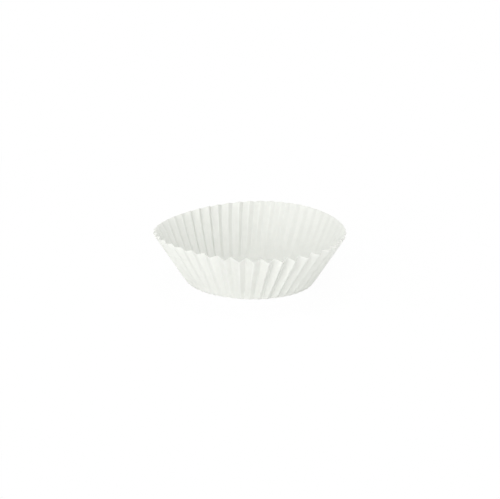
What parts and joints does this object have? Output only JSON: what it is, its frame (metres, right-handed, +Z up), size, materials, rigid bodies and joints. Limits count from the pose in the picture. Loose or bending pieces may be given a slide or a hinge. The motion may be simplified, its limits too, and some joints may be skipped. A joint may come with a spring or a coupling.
{
  "type": "cupcake liner",
  "caption": "Fluted paper cupcake liner: flat round base and a slanted, pleated wall that opens to a wide mouth with a zigzag cut edge.",
  "frame": {"origin": "centre of the flat base's underside, on the surface that the cup rests on", "axes": "+Z up along the cup's axis, towards the open mouth; +X through an outer fold"},
  "size_m": [0.076, 0.0758, 0.0206],
  "materials": {
    "greaseproof_paper": "matte"
  },
  "bodies": {
    "root": {"paper_liner": "greaseproof_paper"}
  },
  "joints": []
}
